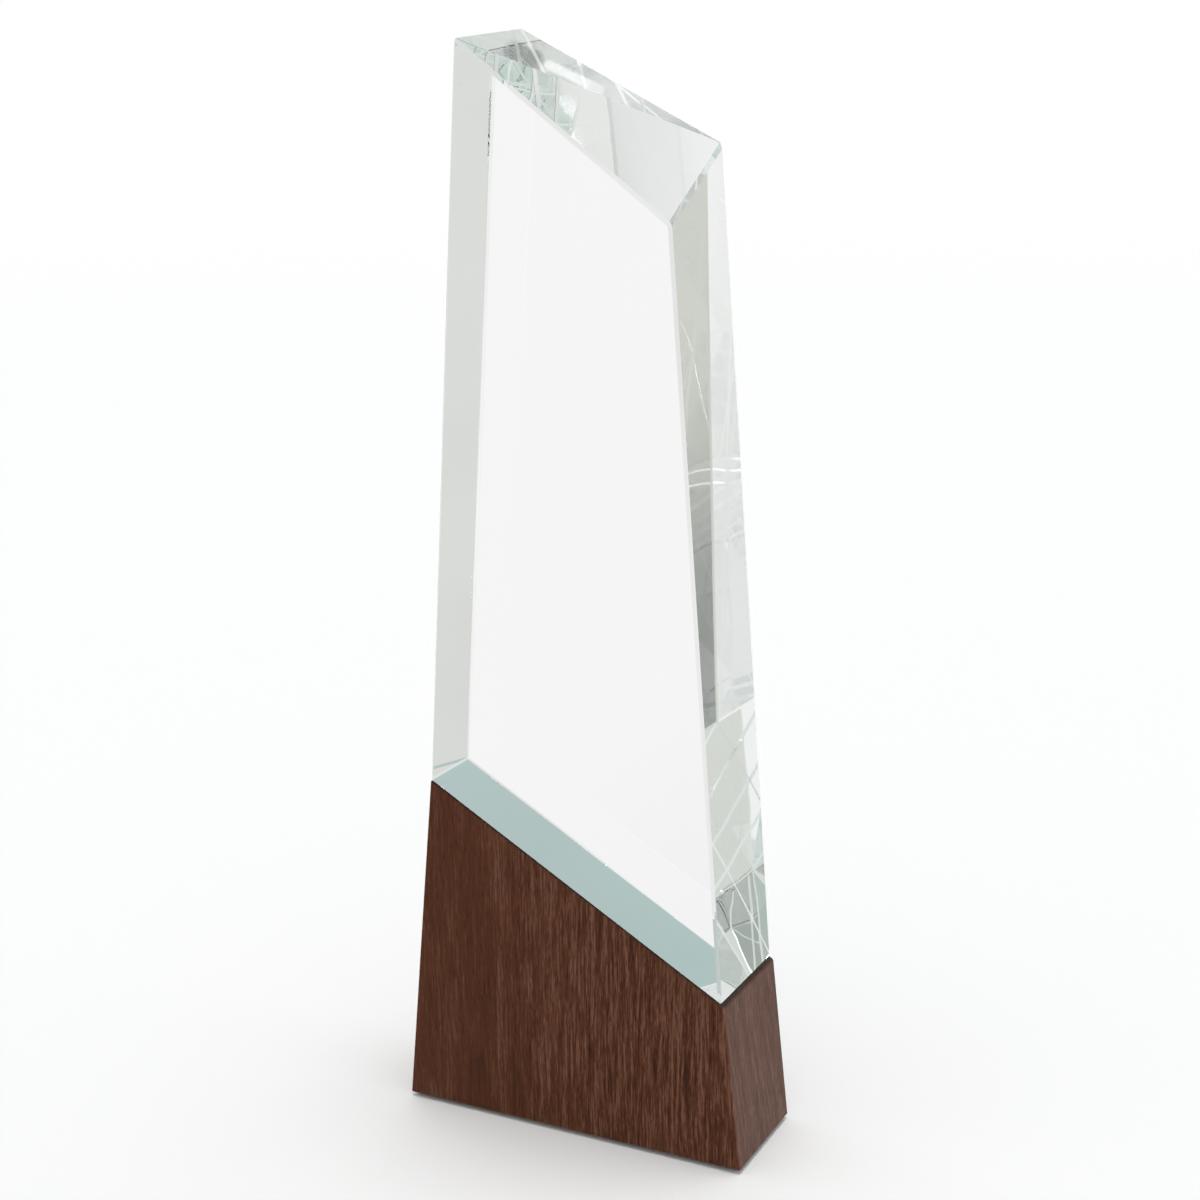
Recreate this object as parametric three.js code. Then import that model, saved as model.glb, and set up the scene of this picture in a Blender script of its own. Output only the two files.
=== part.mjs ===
// A crystal award: a tall, tapering slab of optical crystal bonded onto a walnut block.
//
// Millimetres, +Z up. The origin is the centre of the underside, the broad front face
// looks along -Y, and the tall end of the award is on the left, at -X.

import * as THREE from "three";
import { ConvexGeometry } from "three/addons/geometries/ConvexGeometry.js";

// ---------------------------------------------------------------- driving dimensions

const PAD_THICKNESS = 1.0;
const PAD_INSET = 2.0; // from the edge of the block's underside
const PAD_CORNER_RADIUS = 2.5;

const BLOCK_WIDTH = 89.0; // along X, at the foot
const BLOCK_DEPTH = 30.0; // along Y, the same all the way up
const BLOCK_LEAN = 5.9; // degrees by which each end leans inwards
const BLOCK_EASING = 0.25; // flat that takes the sharpness off the wood's edges

const JOINT_ANGLE = 29.7; // degrees by which the joint falls from left to right
const JOINT_HEIGHT = 64.1; // of the block's top, halfway across
const JOINT_GAP = 0.2; // between the block and the crystal, square to the joint
const LEDGE = 0.8; // the block's top shows past the crystal at its low end

const CRYSTAL_LEAN = 3.97; // degrees by which each end leans inwards
const CRYSTAL_BEVEL = 0.7; // polished bevel along the upright and top edges
const CRYSTAL_FOOT_BEVEL = 0.35; // finer bevel around the foot, against the wood

// The top is two flat triangles that meet along a ridge, which runs from the front left
// corner to the back right one.
const TOP_HEIGHTS = {
  frontLeft: 255.2,
  frontRight: 216.3,
  backRight: 232.0,
  backLeft: 257.7,
};
const RIDGE = ["top.frontLeft", "top.backRight"];

const ADHESIVE_THICKNESS = 0.1;
const ADHESIVE_INSET = 0.8; // from the edge of the crystal's foot

// ---------------------------------------------------------------- derived places

const HALF_DEPTH = BLOCK_DEPTH / 2;
const JOINT_TURN = THREE.MathUtils.degToRad(JOINT_ANGLE);
const JOINT_SLOPE = Math.tan(JOINT_TURN);
const BLOCK_SLOPE = Math.tan(THREE.MathUtils.degToRad(BLOCK_LEAN));
const CRYSTAL_SLOPE = Math.tan(THREE.MathUtils.degToRad(CRYSTAL_LEAN));

// The four upright edges, counter-clockwise from above: the end of the award that each is
// on, -1 at the left and 1 at the right, and its y.
const UPRIGHTS = {
  frontLeft: { side: -1, y: -HALF_DEPTH },
  frontRight: { side: 1, y: -HALF_DEPTH },
  backRight: { side: 1, y: HALF_DEPTH },
  backLeft: { side: -1, y: HALF_DEPTH },
};

// Where the block's slanting top meets its left or right end.
function blockTopX(side) {
  const reach = BLOCK_WIDTH / 2 - BLOCK_SLOPE * (JOINT_HEIGHT - PAD_THICKNESS);
  return (side * reach) / (1 - side * BLOCK_SLOPE * JOINT_SLOPE);
}

const FOOT_X = { [-1]: blockTopX(-1), 1: blockTopX(1) - LEDGE };

const blockTopZ = (x) => JOINT_HEIGHT - JOINT_SLOPE * x;
const crystalFootZ = (x) => blockTopZ(x) + JOINT_GAP / Math.cos(JOINT_TURN);

// ---------------------------------------------------------------- bevelled solids

// The corners of a solid with four upright edges, named foot.frontLeft, top.backRight and
// so on. footOf and topOf give the x and z of an upright's two ends.
function standingCorners(footOf, topOf) {
  const corners = {};
  for (const [name, { side, y }] of Object.entries(UPRIGHTS)) {
    const foot = footOf(side, name);
    const top = topOf(side, name);
    corners[`foot.${name}`] = new THREE.Vector3(foot.x, y, foot.z);
    corners[`top.${name}`] = new THREE.Vector3(top.x, y, top.z);
  }
  return corners;
}

// The faces around and under such a solid, each counter-clockwise seen from outside.
function standingFaces() {
  const names = Object.keys(UPRIGHTS);
  const around = names.map((name, i) => {
    const next = names[(i + 1) % names.length];
    return [`foot.${name}`, `foot.${next}`, `top.${next}`, `top.${name}`];
  });
  return [...around, names.toReversed().map((name) => `foot.${name}`)];
}

// The point inside a face that is `before` from the edge arriving at its corner i, and
// `after` from the edge leaving it.
function insetCorner(face, i, before, after) {
  const corner = face[i];
  const arriving = corner.clone().sub(face.at(i - 1)).normalize();
  const leaving = face[(i + 1) % face.length].clone().sub(corner).normalize();
  const sine = arriving.clone().cross(leaving).length();
  const inset = corner.clone().addScaledVector(leaving, before / sine);
  return inset.addScaledVector(arriving, -after / sine);
}

// A convex solid with flat bevels. Each face shrinks by the bevel of each of its edges,
// and the bevels are the flats that are left between the shrunken faces.
function bevelledGeometry(corners, faces, bevelOf) {
  const points = faces.flatMap((names) => {
    const face = names.map((name) => corners[name]);
    return names.map((name, i) => {
      const before = bevelOf(names.at(i - 1), name);
      const after = bevelOf(name, names[(i + 1) % names.length]);
      return insetCorner(face, i, before, after);
    });
  });
  return new ConvexGeometry(points);
}

// ---------------------------------------------------------------- the pieces

function crystalTower() {
  const corners = standingCorners(
    (side) => ({ x: FOOT_X[side], z: crystalFootZ(FOOT_X[side]) }),
    (side, name) => {
      const rise = TOP_HEIGHTS[name] - crystalFootZ(FOOT_X[side]);
      return { x: FOOT_X[side] - side * CRYSTAL_SLOPE * rise, z: TOP_HEIGHTS[name] };
    },
  );
  const faces = [
    ...standingFaces(),
    ["top.frontLeft", "top.frontRight", "top.backRight"],
    ["top.frontLeft", "top.backRight", "top.backLeft"],
  ];
  const bevelOf = (a, b) => {
    if (RIDGE.includes(a) && RIDGE.includes(b)) return 0;
    const atFoot = a.startsWith("foot") && b.startsWith("foot");
    return atFoot ? CRYSTAL_FOOT_BEVEL : CRYSTAL_BEVEL;
  };
  const material = new THREE.MeshStandardMaterial({
    color: 0xe8f1ef,
    roughness: 0.02,
    metalness: 0,
    transparent: true,
    opacity: 0.4,
  });
  return new THREE.Mesh(bevelledGeometry(corners, faces, bevelOf), material);
}

function adhesiveFilm() {
  const left = FOOT_X[-1];
  const right = FOOT_X[1];
  const length = (right - left) / Math.cos(JOINT_TURN) - 2 * ADHESIVE_INSET;
  const depth = BLOCK_DEPTH - 2 * ADHESIVE_INSET;
  const film = new THREE.Mesh(
    new THREE.BoxGeometry(length, depth, ADHESIVE_THICKNESS),
    new THREE.MeshStandardMaterial({ color: 0xd5dedd, roughness: 0.2, metalness: 0 }),
  );
  const middle = (left + right) / 2;
  film.position.set(middle, 0, (blockTopZ(middle) + crystalFootZ(middle)) / 2);
  film.rotation.y = JOINT_TURN;
  return film;
}

function walnutBlock() {
  const corners = standingCorners(
    (side) => ({ x: (side * BLOCK_WIDTH) / 2, z: PAD_THICKNESS }),
    (side) => ({ x: blockTopX(side), z: blockTopZ(blockTopX(side)) }),
  );
  const top = Object.keys(UPRIGHTS).map((name) => `top.${name}`);
  const faces = [...standingFaces(), top];
  const material = new THREE.MeshStandardMaterial({
    color: 0x4e3025,
    roughness: 0.5,
    metalness: 0,
  });
  return new THREE.Mesh(bevelledGeometry(corners, faces, () => BLOCK_EASING), material);
}

function feltPad() {
  const x = BLOCK_WIDTH / 2 - PAD_INSET;
  const y = HALF_DEPTH - PAD_INSET;
  const r = PAD_CORNER_RADIUS;
  const outline = new THREE.Shape();
  outline.absarc(x - r, y - r, r, 0, Math.PI / 2);
  outline.absarc(-x + r, y - r, r, Math.PI / 2, Math.PI);
  outline.absarc(-x + r, -y + r, r, Math.PI, 1.5 * Math.PI);
  outline.absarc(x - r, -y + r, r, 1.5 * Math.PI, 2 * Math.PI);
  return new THREE.Mesh(
    new THREE.ExtrudeGeometry(outline, {
      depth: PAD_THICKNESS,
      bevelEnabled: false,
      curveSegments: 8,
    }),
    new THREE.MeshStandardMaterial({ color: 0x1d1c1c, roughness: 0.95, metalness: 0 }),
  );
}

const PIECES = {
  crystal_tower: crystalTower(),
  adhesive_film: adhesiveFilm(),
  walnut_block: walnutBlock(),
  felt_pad: feltPad(),
};

const award = new THREE.Group();
for (const [name, piece] of Object.entries(PIECES)) {
  piece.name = name;
  award.add(piece);
}

export default award;
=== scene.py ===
import math
from collections import namedtuple

import bmesh
import bpy
from mathutils import Matrix, Vector, noise


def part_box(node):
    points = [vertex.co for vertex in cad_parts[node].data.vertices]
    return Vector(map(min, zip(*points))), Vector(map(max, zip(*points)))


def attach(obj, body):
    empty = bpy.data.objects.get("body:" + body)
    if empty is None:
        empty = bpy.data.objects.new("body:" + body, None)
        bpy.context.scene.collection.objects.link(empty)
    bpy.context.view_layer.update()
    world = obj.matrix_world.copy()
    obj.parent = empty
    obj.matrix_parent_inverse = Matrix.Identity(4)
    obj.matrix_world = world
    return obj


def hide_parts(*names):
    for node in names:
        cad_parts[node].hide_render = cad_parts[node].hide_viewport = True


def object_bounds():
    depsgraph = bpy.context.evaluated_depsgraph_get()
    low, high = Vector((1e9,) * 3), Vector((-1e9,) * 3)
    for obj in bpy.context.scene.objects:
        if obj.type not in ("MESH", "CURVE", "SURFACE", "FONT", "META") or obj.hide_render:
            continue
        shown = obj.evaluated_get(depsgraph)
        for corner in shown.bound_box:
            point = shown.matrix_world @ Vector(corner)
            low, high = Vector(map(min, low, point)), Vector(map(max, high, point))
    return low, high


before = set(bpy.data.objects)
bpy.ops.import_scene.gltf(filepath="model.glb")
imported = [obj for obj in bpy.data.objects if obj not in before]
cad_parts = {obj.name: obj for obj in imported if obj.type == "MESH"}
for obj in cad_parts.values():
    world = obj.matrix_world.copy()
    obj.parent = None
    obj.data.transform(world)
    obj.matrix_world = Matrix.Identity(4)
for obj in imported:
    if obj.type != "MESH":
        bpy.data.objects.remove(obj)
cad_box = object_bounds()

# Metres and degrees throughout, in the part's own frame. Azimuth 0 looks along +Y, and 90
# along +X.

MILLIMETRE = 0.001
PER_MILLIMETRE = 1000.0


def compass(azimuth, elevation):
    """The unit vector that points along an azimuth and an elevation."""
    azimuth, elevation = math.radians(azimuth), math.radians(elevation)
    level = math.cos(elevation)
    return Vector((
        math.sin(azimuth) * level,
        math.cos(azimuth) * level,
        math.sin(elevation),
    ))


# ---------------------------------------------------------------- shader graphs

# Where a Mix node keeps the sockets that it uses for colours.
MIX_INPUTS = (0, 6, 7)
MIX_OUTPUT = 2


class Graph:
    """Short ways to add nodes to a shader tree and to join them up."""

    def __init__(self, tree):
        self.tree = tree
        self.tree.nodes.clear()

    def node(self, kind, **settings):
        node = self.tree.nodes.new(f"ShaderNode{kind}")
        for name, value in settings.items():
            setattr(node, name, value)
        return node

    def put(self, socket, value):
        """Joins a socket to another node's output, or sets its own value."""
        if isinstance(value, bpy.types.NodeSocket):
            self.tree.links.new(value, socket)
        else:
            socket.default_value = value

    def math(self, operation, *values):
        node = self.node("Math", operation=operation)
        for socket, value in zip(node.inputs, values):
            self.put(socket, value)
        return node.outputs[0]

    def vector(self, operation, *values, result="Vector"):
        node = self.node("VectorMath", operation=operation)
        for socket, value in zip(node.inputs, values):
            self.put(socket, value)
        return node.outputs[result]

    def split(self, vector):
        node = self.node("SeparateXYZ")
        self.put(node.inputs[0], vector)
        return node.outputs

    def join(self, x, y, z):
        node = self.node("CombineXYZ")
        for socket, value in zip(node.inputs, (x, y, z)):
            self.put(socket, value)
        return node.outputs[0]

    def stretch(self, vector, x, y, z):
        return self.vector("MULTIPLY", vector, (x, y, z))

    def fade(self, value, start, end, low=0.0, high=1.0):
        """Goes smoothly from low, where value is start, to high, where it is end."""
        node = self.node("MapRange", interpolation_type="SMOOTHSTEP")
        for socket, number in zip(node.inputs, (value, start, end, low, high)):
            self.put(socket, number)
        return node.outputs[0]

    def mix(self, share, first, second, blend="MIX"):
        node = self.node("Mix", data_type="RGBA", blend_type=blend)
        for place, value in zip(MIX_INPUTS, (share, first, second)):
            self.put(node.inputs[place], value)
        return node.outputs[MIX_OUTPUT]

    def tint(self, first, second):
        return self.mix(1.0, first, second, blend="MULTIPLY")

    def noise(self, vector, scale=1.0, detail=2.0, roughness=0.5, distortion=0.0):
        node = self.node("TexNoise")
        self.put(node.inputs["Vector"], vector)
        self.put(node.inputs["Scale"], scale)
        self.put(node.inputs["Detail"], detail)
        self.put(node.inputs["Roughness"], roughness)
        self.put(node.inputs["Distortion"], distortion)
        return node.outputs["Fac"]

    def cells(self, vector, scale=1.0):
        """How far the middle of the nearest cell is."""
        node = self.node("TexVoronoi")
        self.put(node.inputs["Vector"], vector)
        self.put(node.inputs["Scale"], scale)
        return node.outputs["Distance"]

    def bump(self, height, distance):
        node = self.node("Bump")
        self.put(node.inputs["Height"], height)
        self.put(node.inputs["Distance"], distance)
        return node.outputs["Normal"]


def new_material(name):
    """A material, its graph, its one Principled shader and its output node."""
    material = bpy.data.materials.new(name)
    material.use_nodes = True
    graph = Graph(material.node_tree)
    shader = graph.node("BsdfPrincipled")
    output = graph.node("OutputMaterial")
    graph.put(output.inputs["Surface"], shader.outputs["BSDF"])
    return material, graph, shader, output


def colour(red, green, blue):
    return (red, green, blue, 1.0)


def grey(level):
    return colour(level, level, level)


# ---------------------------------------------------------------- camera

CAMERA_AZIMUTH = 26.8  # of the camera, seen from the award, turning from -Y towards +X
CAMERA_ELEVATION = 14.32
CAMERA_ROLL = 0.65
CAMERA_DISTANCE = 0.4677
CAMERA_LENS = 60.6
CAMERA_SENSOR = 36.0
AIM_RIGHT = 0.0021  # of the vertical through the origin, towards the camera's right
AIM_HEIGHT = 0.1292


def make_camera():
    back = compass(180 - CAMERA_AZIMUTH, CAMERA_ELEVATION)
    right = compass(90 - CAMERA_AZIMUTH, 0)
    turn = Matrix((right, back.cross(right), back)).transposed().to_4x4()
    place = right * AIM_RIGHT + Vector((0, 0, AIM_HEIGHT)) + back * CAMERA_DISTANCE
    data = bpy.data.cameras.new("camera")
    data.lens = CAMERA_LENS
    data.sensor_width = CAMERA_SENSOR
    camera = bpy.data.objects.new("camera", data)
    bpy.context.scene.collection.objects.link(camera)
    roll = Matrix.Rotation(math.radians(-CAMERA_ROLL), 4, "Z")
    camera.matrix_world = Matrix.Translation(place) @ turn @ roll
    bpy.context.scene.camera = camera


# ---------------------------------------------------------------- studio

# The crystal stands in a pale tent of slightly cloudy cloth. Each card in it is a round patch,
# of full colour out to its inner radius and gone by its outer one, and a backdrop with straight
# sides hangs behind the award. The tent reaches below the floor too, and the crystal looks
# through the floor at it. The camera itself sees plain paper below and behind.
Patch = namedtuple("Patch", "azimuth elevation inner outer colour")

# A row of small lamps hangs across a far lit doorway.
LAMP_COUNT = 9
FIRST_LAMP = (-14.75, 29.62)  # its azimuth and elevation
LAMP_STEP = (0.2, -0.075)
LAMP_PLACES = [
    [start + i * step for start, step in zip(FIRST_LAMP, LAMP_STEP)] for i in range(LAMP_COUNT)
]
LAMP_ROW = [Patch(*place, 0.03, 0.19, grey(2.40)) for place in LAMP_PLACES]

CARDS = (
    Patch(-45, -14, 36, 52, grey(0.83)),  # pale grey, round the backdrop
    Patch(-6, -10, 10, 14, grey(0.92)),  # paler, just right of it
    Patch(-140, -14, 24, 46, colour(0.60, 0.61, 0.55)),  # warm grey, in front on the left
    Patch(-164, -30, 5, 16, grey(0.10)),  # dark, at its foot
    Patch(-172, -3, 4, 8, grey(1.05)),  # white, at its side
    Patch(-97, -24, 6, 16, colour(0.39, 0.46, 0.43)),  # green grey, low on the left
    Patch(-78, -34, 7, 13, grey(0.92)),  # pale grey, right of that
    Patch(9, 33, 9, 19, colour(0.42, 0.54, 0.53)),  # cool grey, high behind
    Patch(6, 63, 8, 16, colour(0.50, 0.57, 0.55)),  # paler, above it
    Patch(99, 27, 5, 9, colour(0.42, 0.54, 0.53)),  # cool grey, above the window
    Patch(104, 62, 5, 9, colour(0.42, 0.54, 0.53)),  # and higher up
    Patch(-13.1, 28.8, 1.5, 2.6, grey(1.25)),  # the doorway, left of the cool grey
    Patch(-12.7, 28.75, 0.2, 0.9, grey(1.75)),  # its brighter right side
    *LAMP_ROW,
    Patch(-15.8, 30.02, 0.1, 0.4, grey(0.02)),  # the dark stand beside it, in two halves
    Patch(-15.3, 29.84, 0.1, 0.4, grey(0.02)),
    Patch(50, -9, 4, 9, colour(0.33, 0.37, 0.34)),  # dark, behind on the right
    Patch(-25, -38, 4, 9, grey(0.30)),  # dark, under the backdrop
    Patch(170, 42, 20, 35, colour(0.69, 0.70, 0.66)),  # pale grey, above the camera
    Patch(157, 20, 5, 14, grey(0.60)),  # darker, where the photographer stands
    Patch(88, 3, 15, 25, grey(2.00)),  # the window, on the right
    Patch(90, 87, 8, 13, grey(9.50)),  # the lamp, straight above
)
BACKDROP = grey(0.945)
BACKDROP_AZIMUTH = -27.5
BACKDROP_SIDE = (0.158, 0.087)  # sines of where it is gone, and where it is full
BACKDROP_TOP = (0.17, 0.03)
BACKDROP_FOOT = (-0.60, -0.45)

TENT_LOW = colour(0.70, 0.715, 0.69)
TENT_HIGH = colour(0.75, 0.78, 0.78)
TENT_RISE = (0.05, 0.25)  # sines of where the low tone ends, and where the high one is full
CLOTH_SCALE = 5.0  # clouds in the cloth, across one radian
CLOTH_DEPTH = 0.3

FLOOR_REACH = 12.0  # from its middle to each side
FLOOR_FADE = (1.2, 4.0)  # the distances over which the floor passes into plain paper
PAPER_WHITE = colour(0.95, 0.93, 0.935)
PAPER_LIT = grey(1.0)
PAPER_ROUGHNESS = 0.9


def patch_share(graph, direction, patch):
    middle = compass(patch.azimuth, patch.elevation)
    nearness = graph.vector("DOT_PRODUCT", direction, middle, result="Value")
    outer = math.cos(math.radians(patch.outer))
    inner = math.cos(math.radians(patch.inner))
    return graph.fade(nearness, outer, inner)


def backdrop_share(graph, direction):
    """The share of the straight-sided paper that hangs behind the award."""
    ahead = compass(BACKDROP_AZIMUTH, 0)
    sideways = compass(BACKDROP_AZIMUTH + 90, 0)
    along = graph.vector("DOT_PRODUCT", direction, ahead, result="Value")
    across = graph.vector("DOT_PRODUCT", direction, sideways, result="Value")
    rise = graph.split(direction)["Z"]
    share = graph.math("GREATER_THAN", along, 0.0)
    for limit in (
        graph.fade(graph.math("ABSOLUTE", across), *BACKDROP_SIDE),
        graph.fade(rise, *BACKDROP_TOP),
        graph.fade(rise, *BACKDROP_FOOT),
    ):
        share = graph.math("MULTIPLY", share, limit)
    return share


def tent_colour(graph, direction):
    rise = graph.split(direction)["Z"]
    tone = graph.mix(graph.fade(rise, *TENT_RISE), TENT_LOW, TENT_HIGH)
    for card in CARDS:
        tone = graph.mix(patch_share(graph, direction, card), tone, card.colour)
    cloud = graph.noise(direction, scale=CLOTH_SCALE, detail=3, roughness=0.6)
    shade = graph.math("MULTIPLY_ADD", cloud, CLOTH_DEPTH, 1 - CLOTH_DEPTH / 2)
    tone = graph.tint(tone, shade)
    return graph.mix(backdrop_share(graph, direction), tone, BACKDROP)


def make_tent():
    world = bpy.data.worlds.new("studio_tent")
    world.use_nodes = True
    graph = Graph(world.node_tree)
    tent = tent_colour(graph, graph.node("TexCoord").outputs["Generated"])
    to_camera = graph.node("LightPath").outputs["Is Camera Ray"]
    background = graph.node("Background")
    graph.put(background.inputs["Color"], graph.mix(to_camera, tent, PAPER_LIT))
    output = graph.node("OutputWorld")
    graph.put(output.inputs["Surface"], background.outputs["Background"])
    bpy.context.scene.world = world


def make_floor():
    """Plain white paper, which the crystal sees through and the camera doesn't."""
    mesh = bpy.data.meshes.new("floor")
    sides = ((-1, -1), (1, -1), (1, 1), (-1, 1))
    corners = [(x * FLOOR_REACH, y * FLOOR_REACH, 0) for x, y in sides]
    mesh.from_pydata(corners, [], [(0, 1, 2, 3)])
    floor = bpy.data.objects.new("floor", mesh)
    floor.location.z = cad_box[0].z
    floor.visible_transmission = False
    floor.visible_glossy = False
    bpy.context.scene.collection.objects.link(floor)
    mesh.materials.append(floor_material())


def floor_material():
    """White paper, lit by the tent near the award and evenly bright far from it."""
    material, graph, shader, output = new_material("pale_floor")
    shader.inputs["Base Color"].default_value = PAPER_WHITE
    shader.inputs["Roughness"].default_value = PAPER_ROUGHNESS
    shader.inputs["Specular IOR Level"].default_value = 0.0
    glow = graph.node("Emission")
    glow.inputs["Color"].default_value = PAPER_LIT
    place = graph.node("NewGeometry").outputs["Position"]
    away = graph.fade(graph.vector("LENGTH", place, result="Value"), *FLOOR_FADE)
    both = graph.node("MixShader")
    for socket, value in zip(both.inputs, (away, shader.outputs[0], glow.outputs[0])):
        graph.put(socket, value)
    graph.put(output.inputs["Surface"], both.outputs[0])
    return material


LIGHT_TURNS = 64  # enough for the longest way out of the crystal


def set_rendering():
    """Keeps the colours plain, and lets light turn often enough inside the crystal."""
    scene = bpy.context.scene
    scene.view_settings.view_transform = "Standard"
    scene.cycles.max_bounces = LIGHT_TURNS
    scene.cycles.transmission_bounces = LIGHT_TURNS
    scene.cycles.glossy_bounces = LIGHT_TURNS


# ---------------------------------------------------------------- crystal

CRYSTAL_INDEX = 1.517
CRYSTAL_TINT = colour(0.80, 0.91, 0.86)  # how a metre of it colours light
POLISH_SCALE = 45.0  # waves in a metre, roughly
POLISH_DETAIL = 2.0
POLISH_TILT = 0.004


def hand_polish(graph):
    """The surface's normal, with the faint waves that polishing by hand leaves."""
    place = graph.node("TexCoord").outputs["Object"]
    waves = graph.node("TexNoise")
    graph.put(waves.inputs["Vector"], place)
    graph.put(waves.inputs["Scale"], POLISH_SCALE)
    graph.put(waves.inputs["Detail"], POLISH_DETAIL)
    centred = graph.vector("SUBTRACT", waves.outputs["Color"], (0.5, 0.5, 0.5))
    tilt = graph.stretch(centred, POLISH_TILT, POLISH_TILT, POLISH_TILT)
    flat = graph.node("NewGeometry").outputs["Normal"]
    return graph.vector("NORMALIZE", graph.vector("ADD", flat, tilt))


def crystal_material():
    material, graph, shader, output = new_material("optical_crystal")
    shader.inputs["Base Color"].default_value = grey(1.0)
    shader.inputs["Roughness"].default_value = 0.0
    shader.inputs["IOR"].default_value = CRYSTAL_INDEX
    shader.inputs["Transmission Weight"].default_value = 1.0
    graph.put(shader.inputs["Normal"], hand_polish(graph))
    volume = graph.node("VolumeAbsorption")
    volume.inputs["Color"].default_value = CRYSTAL_TINT
    volume.inputs["Density"].default_value = 1.0
    graph.put(output.inputs["Volume"], volume.outputs["Volume"])
    return material


ADHESIVE_THIN = colour(0.95, 0.96, 0.95)
ADHESIVE_THICK = colour(0.98, 0.98, 0.97)
ADHESIVE_BUBBLE = colour(0.88, 0.91, 0.90)
ADHESIVE_ROUGHNESS = (0.22, 0.38)
ADHESIVE_RELIEF = 0.02 * MILLIMETRE
SPREAD_SCALE = 90
SPREAD_RANGE = (0.3, 0.7)  # of the noise, from thin film to thick
BUBBLE_SCALE = 700
BUBBLE_EDGE = (0.16, 0.08)
BUBBLE_DIP = -0.5  # against the film's own unevenness


def adhesive_material():
    """A pale cured film, a little uneven from being spread and pressed out."""
    material, graph, shader, _ = new_material("clear_adhesive")
    place = graph.node("TexCoord").outputs["Object"]
    spread = graph.noise(place, scale=SPREAD_SCALE, detail=4, roughness=0.6, distortion=1.0)
    bubbles = graph.fade(graph.cells(place, scale=BUBBLE_SCALE), *BUBBLE_EDGE)
    film = graph.mix(graph.fade(spread, *SPREAD_RANGE), ADHESIVE_THIN, ADHESIVE_THICK)
    graph.put(shader.inputs["Base Color"], graph.mix(bubbles, film, ADHESIVE_BUBBLE))
    graph.put(shader.inputs["Roughness"], graph.fade(spread, *SPREAD_RANGE, *ADHESIVE_ROUGHNESS))
    relief = graph.math("MULTIPLY_ADD", bubbles, BUBBLE_DIP, spread)
    graph.put(shader.inputs["Normal"], graph.bump(relief, ADHESIVE_RELIEF))
    return material


# ---------------------------------------------------------------- walnut

# The heart of the tree that the block is cut from, in millimetres from the origin.
PITH = (-38.0, 62.0)

WALNUT_DARK = colour(0.034, 0.0078, 0.0024)
WALNUT_MIDDLE = colour(0.086, 0.0240, 0.0080)
WALNUT_LIGHT = colour(0.176, 0.0780, 0.0480)
PORE_COLOUR = colour(0.026, 0.0070, 0.0028)
# Upward faces darker: partly end grain, which soaks up more oil, partly painted contact shadow
# from the crystal standing on the ledge.
END_GRAIN_AND_SHADOW_SHADE = 0.34
EDGE_WEAR_AND_HIGHLIGHT_SHADE = 1.3  # lighter on the eased edges: partly oil that hands have worn off, partly a painted highlight
SIDE_PAINTED_SHEEN = 0.026  # the share of white mixed into the narrow sides: a painted sheen
WALNUT_ROUGHNESS = (0.60, 0.46)  # of the dark wood, and of the light
WALNUT_GLOSS = 0.15
WALNUT_RELIEF = 0.05 * MILLIMETRE

# How far each part of the grain is drawn out along x, y and z.
WANDER_STRETCH = (0.05, 0.05, 0.02)
STREAK_STRETCH = (1.9, 1.9, 0.07)
FLECK_STRETCH = (4.0, 4.0, 0.40)
PORE_STRETCH = (1.7, 1.7, 0.20)

WANDER_REACH = 3.0  # millimetres that the grain wanders
RING_SCALE = 0.45
RING_TWIST = 0.008  # how fast the rings change up the block
RING_DEPTH = 0.45
STEEP_RANGE = (0.1, 0.6)  # of the sine of the rings' slope, from flat to steep
STEEP_LIFT = 0.05  # in the grain's tone, where the rings stand steep to the front
STREAK_SHARE = 0.6
FLECK_SHARE = 0.4
FLAT_CONTRAST = 0.7  # of the lines, where the rings lie flat; steep rings add 1
SIDE_CALM = 0.5  # how much quieter the lines are on the narrow sides
PORE_EDGE = (0.30, 0.12)
PORE_SHARE = 0.6
PORE_DIP = -0.8  # against the height of the lines

# The grain's tones between which the wood turns from one colour or gloss to the next.
DARK_TO_MIDDLE = (-0.20, 0.02)
MIDDLE_TO_LIGHT = (0.0, 0.24)
ROUGH_TO_GLOSSY = (-0.2, 0.2)

END_GRAIN_AND_SHADOW_TURN = (0.3, 0.7)  # of the normal's upward part, where end grain and painted shadow darken the wood
EDGE_TURN = (0.84, 0.76)  # of the normal's largest part: 1 on a face, less on an eased edge


def walnut_grain(graph):
    """The place in the wood, in millimetres, with the grain's slow wander."""
    place = graph.node("TexCoord").outputs["Object"]
    grain = graph.stretch(place, PER_MILLIMETRE, PER_MILLIMETRE, PER_MILLIMETRE)
    wander = graph.noise(graph.stretch(grain, *WANDER_STRETCH), detail=3)
    shift = graph.math("MULTIPLY_ADD", wander, WANDER_REACH, -WANDER_REACH / 2)
    return graph.vector("ADD", grain, graph.join(shift, shift, 0.0))


def walnut_rings(graph, grain):
    """The growth rings, and how steep they stand to the front: more so towards the right."""
    x, y, z = graph.split(grain)
    across = graph.math("SUBTRACT", x, PITH[0])
    inward = graph.join(across, graph.math("SUBTRACT", y, PITH[1]), 0.0)
    radius = graph.vector("LENGTH", inward, result="Value")
    steepness = graph.fade(graph.math("DIVIDE", across, radius), *STEEP_RANGE)
    ring_place = graph.join(radius, graph.math("MULTIPLY", z, RING_TWIST), 0.0)
    rings = graph.noise(ring_place, scale=RING_SCALE, detail=3, roughness=0.6)
    return rings, steepness


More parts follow.
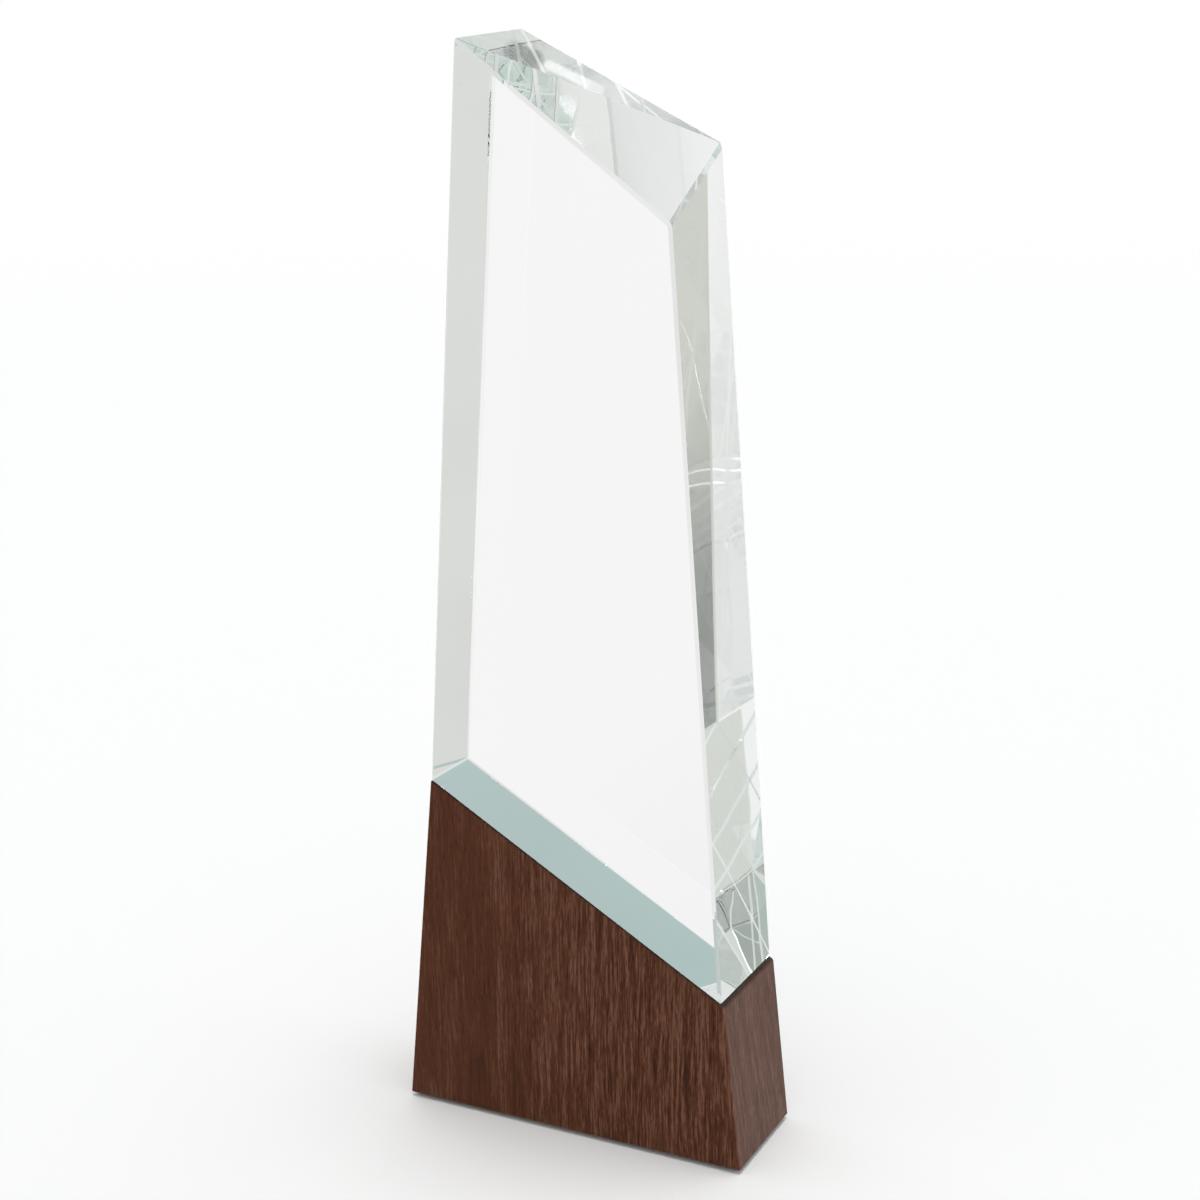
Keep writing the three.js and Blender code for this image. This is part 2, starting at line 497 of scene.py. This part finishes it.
def walnut_lines(graph, grain, steepness, aside):
    """Streaks and flecks along the grain, strongest where the rings stand steep."""
    streaks = graph.noise(graph.stretch(grain, *STREAK_STRETCH), detail=3, roughness=0.6)
    flecks = graph.noise(graph.stretch(grain, *FLECK_STRETCH), detail=3, roughness=0.65)
    lines = graph.math("MULTIPLY", flecks, FLECK_SHARE)
    lines = graph.math("MULTIPLY_ADD", streaks, STREAK_SHARE, lines)
    calm = graph.math("MULTIPLY_ADD", aside, -SIDE_CALM, 1.0)
    contrast = graph.math("MULTIPLY", graph.math("ADD", steepness, FLAT_CONTRAST), calm)
    return graph.math("MULTIPLY", graph.math("SUBTRACT", lines, 0.5), contrast)


def walnut_material():
    material, graph, shader, _ = new_material("oiled_walnut")
    grain = walnut_grain(graph)
    facing = graph.vector("ABSOLUTE", graph.node("NewGeometry").outputs["Normal"])
    aside, onward, upward = graph.split(facing)

    rings, steepness = walnut_rings(graph, grain)
    lines = walnut_lines(graph, grain, steepness, aside)
    tone = graph.math("MULTIPLY_ADD", graph.math("SUBTRACT", rings, 0.5), RING_DEPTH, lines)
    tone = graph.math("MULTIPLY_ADD", steepness, STEEP_LIFT, tone)
    wood = graph.mix(graph.fade(tone, *DARK_TO_MIDDLE), WALNUT_DARK, WALNUT_MIDDLE)
    wood = graph.mix(graph.fade(tone, *MIDDLE_TO_LIGHT), wood, WALNUT_LIGHT)

    pores = graph.fade(graph.cells(graph.stretch(grain, *PORE_STRETCH)), *PORE_EDGE)
    wood = graph.mix(graph.math("MULTIPLY", pores, PORE_SHARE), wood, PORE_COLOUR)

    # Upward faces, the ledge under the crystal among them, darkened: end grain plus painted
    # contact shadow.
    end_grain_and_shadow = graph.fade(upward, *END_GRAIN_AND_SHADOW_TURN)
    wood = graph.tint(wood, graph.mix(end_grain_and_shadow, grey(1.0), grey(END_GRAIN_AND_SHADOW_SHADE)))
    squareness = graph.math("MAXIMUM", graph.math("MAXIMUM", aside, onward), upward)
    # Eased edges lighter: worn oil plus a painted highlight along them.
    edge_wear_and_highlight = graph.fade(squareness, *EDGE_TURN)
    wood = graph.tint(wood, graph.mix(edge_wear_and_highlight, grey(1.0), grey(EDGE_WEAR_AND_HIGHLIGHT_SHADE)))
    # Painted sheen: the narrow sides whitened towards grey.
    wood = graph.mix(graph.math("MULTIPLY", aside, SIDE_PAINTED_SHEEN), wood, grey(1.0))

    graph.put(shader.inputs["Base Color"], wood)
    roughness = graph.fade(tone, *ROUGH_TO_GLOSSY, *WALNUT_ROUGHNESS)
    graph.put(shader.inputs["Roughness"], roughness)
    shader.inputs["Specular IOR Level"].default_value = WALNUT_GLOSS
    relief = graph.math("MULTIPLY_ADD", pores, PORE_DIP, lines)
    graph.put(shader.inputs["Normal"], graph.bump(relief, WALNUT_RELIEF))
    return material


# ---------------------------------------------------------------- felt

FELT_THICKNESS = 0.92 * MILLIMETRE
FELT_CORNER = 2.5 * MILLIMETRE
FELT_ROUNDING = 0.25 * MILLIMETRE  # how far its cut edge is rounded over
FELT_FUZZ = 0.12 * MILLIMETRE  # how far the edge's fibres stray
FELT_DARK = grey(0.010)
FELT_PALE = grey(0.035)
FELT_TONES = (0.35, 0.65)  # of the fibres, where the felt is dark and where it is pale
FELT_ROUGHNESS = 0.95
FELT_GLOSS = 0.15
FELT_SHEEN = 0.3
FELT_RELIEF = 0.12 * MILLIMETRE
FLUFF_SCALE = 2600
FLUFF_SHARE = 0.6
CLOUD_SCALE = 160
CLOUD_SHARE = 0.4
FUZZ_FINENESS = 2200.0
FUZZ_SPACING = 0.35 * MILLIMETRE
BEND_STEPS = 12
RIM_STEPS = 8


def felt_material():
    material, graph, shader, _ = new_material("dark_felt")
    place = graph.node("TexCoord").outputs["Object"]
    fluff = graph.noise(place, scale=FLUFF_SCALE, detail=5, roughness=0.7, distortion=1.5)
    cloud = graph.noise(place, scale=CLOUD_SCALE, detail=3)
    tone = graph.math("MULTIPLY", fluff, FLUFF_SHARE)
    tone = graph.math("MULTIPLY_ADD", cloud, CLOUD_SHARE, tone)
    fabric = graph.mix(graph.fade(tone, *FELT_TONES), FELT_DARK, FELT_PALE)
    graph.put(shader.inputs["Base Color"], fabric)
    shader.inputs["Roughness"].default_value = FELT_ROUGHNESS
    shader.inputs["Specular IOR Level"].default_value = FELT_GLOSS
    shader.inputs["Sheen Weight"].default_value = FELT_SHEEN
    graph.put(shader.inputs["Normal"], graph.bump(fluff, FELT_RELIEF))
    return material


def felt_outline(width, depth):
    """Points round a rectangle with round corners, each with the way that faces outwards."""
    bends = []
    for quarter, (side, end) in enumerate(((1, 1), (-1, 1), (-1, -1), (1, -1))):
        middle = Vector((side * (width / 2 - FELT_CORNER), end * (depth / 2 - FELT_CORNER), 0))
        for step in range(BEND_STEPS + 1):
            angle = (quarter + step / BEND_STEPS) * math.pi / 2
            bends.append((middle, Vector((math.cos(angle), math.sin(angle), 0))))
    outline = []
    for (middle, outward), (next_middle, _) in zip(bends, bends[1:] + bends[:1]):
        steps = max(1, round((next_middle - middle).length / FUZZ_SPACING))
        for step in range(steps):
            point = middle.lerp(next_middle, step / steps) + outward * FELT_CORNER
            outline.append((point, outward))
    return outline


def felt_rings(outline):
    """The outline at each height of the felt's rounded and slightly ragged cut edge."""
    rings = []
    for level in range(RIM_STEPS + 1):
        angle = (level / RIM_STEPS - 0.5) * math.pi
        height = FELT_THICKNESS * (1 + math.sin(angle)) / 2
        ring = []
        for point, outward in outline:
            place = point + Vector((0, 0, height))
            stray = FELT_FUZZ * abs(noise.noise(place * FUZZ_FINENESS))
            ring.append(place - outward * (FELT_ROUNDING * (1 - math.cos(angle)) + stray))
        rings.append(ring)
    return rings


def make_felt():
    low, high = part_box("felt_pad")
    width, depth = high.x - low.x, high.y - low.y
    mesh = bpy.data.meshes.new("felt_sheet")
    shape = bmesh.new()
    outline = felt_outline(width, depth)
    rings = [[shape.verts.new(point) for point in ring] for ring in felt_rings(outline)]
    for below, above in zip(rings, rings[1:]):
        for i in range(len(below)):
            shape.faces.new((below[i - 1], below[i], above[i], above[i - 1]))
    for ring in (rings[0], rings[-1]):
        shape.faces.new(ring)
    bmesh.ops.recalc_face_normals(shape, faces=shape.faces)
    shape.to_mesh(mesh)
    shape.free()
    felt = bpy.data.objects.new("felt_sheet", mesh)
    felt.location.z = low.z
    bpy.context.scene.collection.objects.link(felt)
    mesh.materials.append(felt_material())
    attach(felt, "root")
    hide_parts("felt_pad")


# ---------------------------------------------------------------- the award

def dress(node, material):
    """Gives a CAD piece a new material."""
    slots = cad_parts[node].data.materials
    slots.clear()
    slots.append(material)


make_camera()
make_tent()
make_floor()
set_rendering()

dress("crystal_tower", crystal_material())
dress("adhesive_film", adhesive_material())
dress("walnut_block", walnut_material())
make_felt()
